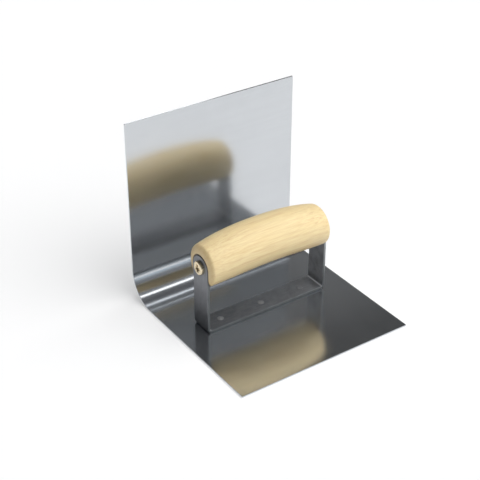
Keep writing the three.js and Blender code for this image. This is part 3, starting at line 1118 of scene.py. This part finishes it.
def glow_material(name, levels, strength=1.0):
    """Light whose level changes with height over a card: (share, grey, blue tint)."""
    material = bpy.data.materials.new(name)
    material.use_nodes = True
    tree = material.node_tree
    tree.nodes.clear()
    coords = tree.nodes.new("ShaderNodeTexCoord")
    split = tree.nodes.new("ShaderNodeSeparateXYZ")
    ramp = tree.nodes.new("ShaderNodeValToRGB")
    elements = ramp.color_ramp.elements
    while len(elements) < len(levels):
        elements.new(1.0)
    for element, (share, level, blue) in zip(elements, levels):
        element.position = share
        element.color = (level, level * (1 + blue) / 2, level * blue, 1.0)
    glow = tree.nodes.new("ShaderNodeEmission")
    glow.inputs["Strength"].default_value = strength
    out = tree.nodes.new("ShaderNodeOutputMaterial")
    tree.links.new(coords.outputs["Generated"], split.inputs["Vector"])
    tree.links.new(split.outputs["Z"], ramp.inputs["Fac"])
    tree.links.new(ramp.outputs["Color"], glow.inputs["Color"])
    tree.links.new(glow.outputs["Emission"], out.inputs["Surface"])
    return material


def make_card(name, centre, across, up, material):
    """A flat card that only reflections see."""
    corners = [centre + a * across + b * up for a, b in SQUARE]
    mesh = bpy.data.meshes.new(name)
    mesh.from_pydata([tuple(c) for c in corners], [], [(0, 1, 2, 3)])
    mesh.materials.append(material)
    card = bpy.data.objects.new(name, mesh)
    bpy.context.scene.collection.objects.link(card)
    card.visible_camera = False
    card.visible_diffuse = False
    card.visible_shadow = False
    card.visible_transmission = False


def make_cards():
    """A strip light overhead, the room before and behind the tool, and a bright panel."""
    facing = Vector((0, STRIP_PLACE.z, -STRIP_PLACE.y)).normalized()
    make_card(
        "strip",
        STRIP_PLACE,
        Vector((STRIP_HALF_LENGTH, 0, 0)),
        facing * STRIP_HALF_WIDTH,
        glow_material("strip_glow", EVEN_LEVELS, STRIP_STRENGTH),
    )
    for name, side, levels in (
        ("front_room", -1, FRONT_LEVELS),
        ("back_room", 1, BACK_LEVELS),
    ):
        make_card(
            name,
            Vector((0, side * CARD_DISTANCE, CARD_HEIGHT / 2 + CARD_LIFT)),
            Vector((CARD_HALF_WIDTH, 0, 0)),
            Vector((0, 0, CARD_HEIGHT / 2)),
            glow_material(name + "_glow", levels),
        )
    make_card(
        "back_panel",
        PANEL_PLACE,
        Vector((PANEL_HALF_WIDTH, 0, 0)),
        Vector((0, 0, PANEL_HALF_HEIGHT)),
        glow_material("panel_glow", EVEN_LEVELS, PANEL_STRENGTH),
    )


def make_world():
    """A dim room behind, brighter in front; what the camera sees is white."""
    world = bpy.data.worlds.new("studio")
    bpy.context.scene.world = world
    world.use_nodes = True
    tree = world.node_tree
    tree.nodes.clear()
    coords = tree.nodes.new("ShaderNodeTexCoord")
    split = tree.nodes.new("ShaderNodeSeparateXYZ")
    tree.links.new(coords.outputs["Generated"], split.inputs["Vector"])
    front = tree.nodes.new("ShaderNodeMapRange")
    front.interpolation_type = "SMOOTHSTEP"
    front.inputs["From Min"].default_value = BACK_FROM
    front.inputs["From Max"].default_value = FRONT_FROM
    tree.links.new(split.outputs["Y"], front.inputs["Value"])
    tone = tree.nodes.new("ShaderNodeValToRGB")
    tone.color_ramp.elements[0].color = BACK_TONE
    tone.color_ramp.elements[1].color = FRONT_TONE
    tree.links.new(front.outputs["Result"], tone.inputs["Fac"])
    room = tree.nodes.new("ShaderNodeBackground")
    tree.links.new(tone.outputs["Color"], room.inputs["Color"])
    pale = tree.nodes.new("ShaderNodeBackground")
    pale.inputs["Color"].default_value = WHITE
    rays = tree.nodes.new("ShaderNodeLightPath")
    choose = tree.nodes.new("ShaderNodeMixShader")
    tree.links.new(rays.outputs["Is Camera Ray"], choose.inputs["Fac"])
    tree.links.new(room.outputs["Background"], choose.inputs[1])
    tree.links.new(pale.outputs["Background"], choose.inputs[2])
    out = tree.nodes.new("ShaderNodeOutputWorld")
    tree.links.new(choose.outputs["Shader"], out.inputs["Surface"])


def make_camera():
    """The photograph's viewpoint."""
    data = bpy.data.cameras.new("camera")
    data.sensor_width = CAMERA_SENSOR
    data.lens = CAMERA_LENS
    data.clip_start, data.clip_end = CAMERA_CLIP
    camera = bpy.data.objects.new("camera", data)
    camera.location = CAMERA_PLACE
    aim = CAMERA_AIM - camera.location
    camera.rotation_mode = "QUATERNION"
    camera.rotation_quaternion = aim.to_track_quat("-Z", "Y")
    bpy.context.scene.collection.objects.link(camera)
    bpy.context.scene.camera = camera


# ---------------------------------------------------------------- scene

make_camera()
make_blade()
make_bracket()
make_grip()
make_screw("screw_left", "handle_screw_left", -1, LEFT_SCREW_TURN)
make_screw("screw_right", "handle_screw_right", 1, RIGHT_SCREW_TURN)
for rivet_name, rivet_node in zip(("rivet_left", "rivet_middle", "rivet_right"), RIVETS):
    make_rivet(rivet_name, rivet_node)
make_floor()
make_key()
make_cards()
make_world()
bpy.context.scene.view_settings.view_transform = "Standard"
